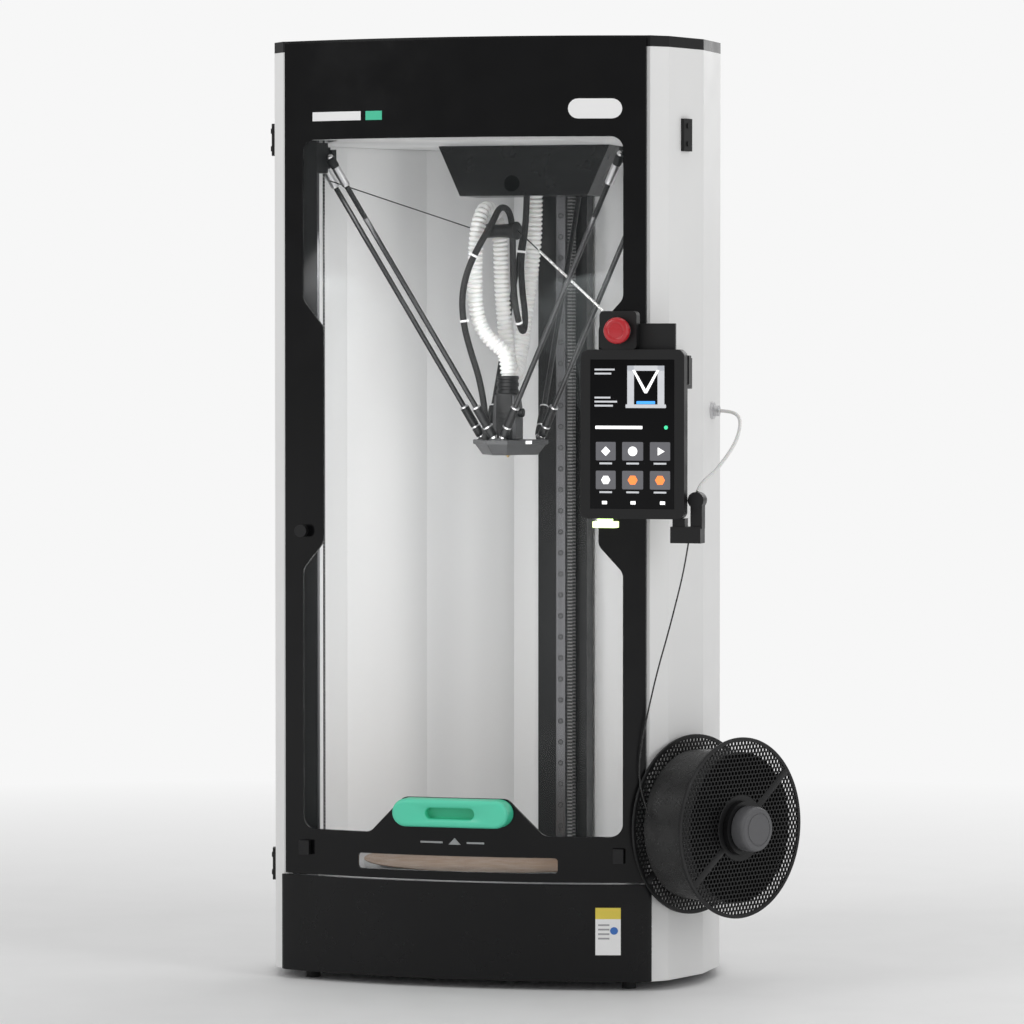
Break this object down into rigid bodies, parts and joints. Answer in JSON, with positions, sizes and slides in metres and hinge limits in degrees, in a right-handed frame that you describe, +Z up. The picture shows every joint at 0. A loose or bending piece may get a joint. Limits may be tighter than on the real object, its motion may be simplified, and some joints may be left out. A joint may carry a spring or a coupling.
{
  "type": "delta printer",
  "caption": "Tall enclosed three-tower delta 3D printer with a curved lift-up door, touch screen, round bed and side spool.",
  "frame": {"origin": "centre of the round print surface", "axes": "+Z up, -Y towards the door, +X towards the spool"},
  "size_m": [0.6121, 0.528, 1.055],
  "materials": {
    "panel_white": "satin powder coat",
    "gloss_black": "gloss",
    "lid_black": "satin",
    "base_grey": "satin",
    "zinc_plate": "brushed",
    "clear_window": "clear",
    "pull_green": "satin",
    "black_plastic": "matte",
    "effector_grey": "matte",
    "stop_red": "gloss",
    "light_lens": "lit",
    "screen_glass": "gloss",
    "aluminium": "satin",
    "rail_steel": "ground",
    "rod_black": "woven carbon",
    "liner_grey": "satin",
    "tower_black": "satin",
    "bed_bronze": "textured",
    "bed_edge": "bright",
    "hose_white": "satin",
    "sleeve_black": "braided",
    "belt_black": "matte",
    "tether_steel": "plain",
    "spool_black": "satin",
    "filament_black": "semi gloss",
    "knob_grey": "fine grain",
    "foot_rubber": "matte",
    "nozzle_brass": "machined",
    "board_green": "lacquer",
    "supply_case": "perforated"
  },
  "bodies": {
    "frame": {"air_hose": "hose_white", "base_cover": "base_grey", "bed_heater": "bed_edge", "bottom_plate": "zinc_plate", "build_plate": "bed_bronze", "ceiling_plate": "liner_grey", "columns": "tower_black", "deck_plate": "zinc_plate", "drive_belts": "belt_black", "drive_motors": "black_plastic", "fan_frame": "zinc_plate", "feet": "foot_rubber", "filament_sensor": "black_plastic", "filament_strand": "filament_black", "front_posts": "lid_black", "guide_tube": "hose_white", "hood": "tower_black", "hose_saddle": "black_plastic", "idler_pulleys": "aluminium", "inner_walls": "liner_grey", "linear_rails": "rail_steel", "main_board": "board_green", "panel_clips": "black_plastic", "power_inlet": "black_plastic", "power_supply": "supply_case", "rear_panel": "panel_white", "saddle_tethers": "tether_steel", "screen_bracket": "black_plastic", "screen_case": "black_plastic", "screen_glass": "screen_glass", "side_panel_left": "panel_white", "side_panel_right": "panel_white", "side_port": "aluminium", "spool_arbor": "black_plastic", "spool_knob": "knob_grey", "status_light": "light_lens", "stop_box": "black_plastic", "top_lid": "lid_black", "wire_sleeve": "sleeve_black"},
    "door": {"door_frame": "gloss_black", "door_window": "clear_window", "door_handle": "pull_green", "door_catches": "black_plastic"},
    "carriage_left": {"carriage_left": "black_plastic", "rods_left": "rod_black"},
    "carriage_right": {"carriage_right": "black_plastic", "rods_right": "rod_black"},
    "carriage_rear": {"carriage_rear": "black_plastic", "rods_rear": "rod_black"},
    "effector": {"effector": "effector_grey", "head_housing": "black_plastic", "nozzle": "nozzle_brass"},
    "drive_pulley_left": {"drive_pulley_left": "aluminium"},
    "drive_pulley_right": {"drive_pulley_right": "aluminium"},
    "drive_pulley_rear": {"drive_pulley_rear": "aluminium"},
    "spool": {"spool": "spool_black", "filament_winding": "filament_black"},
    "stop_button": {"stop_button": "stop_red"},
    "power_rocker": {"power_rocker": "black_plastic"},
    "fan_rotor": {"fan_rotor": "black_plastic"}
  },
  "joints": [
    {"name": "door_lift", "type": "slide", "parent": "frame", "child": "door", "axis": [0, 0, 1], "range_m": [0, 0.45]},
    {"name": "carriage_left_slide", "type": "slide", "parent": "frame", "child": "carriage_left", "axis": [0, 0, 1], "range_m": [-0.455, 0]},
    {"name": "carriage_right_slide", "type": "slide", "parent": "frame", "child": "carriage_right", "axis": [0, 0, 1], "range_m": [-0.455, 0]},
    {"name": "carriage_rear_slide", "type": "slide", "parent": "frame", "child": "carriage_rear", "axis": [0, 0, 1], "range_m": [-0.455, 0]},
    {"name": "effector_lift", "type": "slide", "parent": "frame", "child": "effector", "axis": [0, 0, 1], "range_m": [-0.455, 0], "deforming": ["air_hose", "wire_sleeve"]},
    {"name": "drive_pulley_left_spin", "type": "hinge", "parent": "frame", "child": "drive_pulley_left", "pos_m": [-0.19816, -0.09478, -0.05], "axis": [0.5, -0.866, 0], "range_deg": [-4200, 20]},
    {"name": "drive_pulley_right_spin", "type": "hinge", "parent": "frame", "child": "drive_pulley_right", "pos_m": [0.18116, -0.12422, -0.05], "axis": [0.5, 0.866, 0], "range_deg": [-4200, 20]},
    {"name": "drive_pulley_rear_spin", "type": "hinge", "parent": "frame", "child": "drive_pulley_rear", "pos_m": [0.017, 0.219, -0.05], "axis": [-1, 0, 0], "range_deg": [-4200, 20]},
    {"name": "spool_spin", "type": "hinge", "parent": "frame", "child": "spool", "pos_m": [0.282, -0.137, 0.056], "axis": [0.8832, -0.4691, 0], "continuous": true},
    {"name": "stop_press", "type": "slide", "parent": "frame", "child": "stop_button", "axis": [0, 1, 0], "range_m": [0, 0.004], "stiffness_N_per_m": 600, "springref_m": -0.003},
    {"name": "power_rocker_tilt", "type": "hinge", "parent": "frame", "child": "power_rocker", "pos_m": [-0.045, 0.2735, -0.052], "axis": [1, 0, 0], "range_deg": [-8, 8]},
    {"name": "fan_spin", "type": "hinge", "parent": "frame", "child": "fan_rotor", "pos_m": [0.03, 0.262, -0.062], "axis": [0, 1, 0], "continuous": true}
  ],
  "couplings": [
    {"joint": "carriage_right_slide", "follows": "carriage_left_slide", "ratio": 1},
    {"joint": "carriage_rear_slide", "follows": "carriage_left_slide", "ratio": 1},
    {"joint": "effector_lift", "follows": "carriage_left_slide", "ratio": 1},
    {"joint": "drive_pulley_left_spin", "follows": "carriage_left_slide", "rad_per_m": 156.99},
    {"joint": "drive_pulley_right_spin", "follows": "carriage_left_slide", "rad_per_m": 156.99},
    {"joint": "drive_pulley_rear_spin", "follows": "carriage_left_slide", "rad_per_m": 156.99}
  ]
}
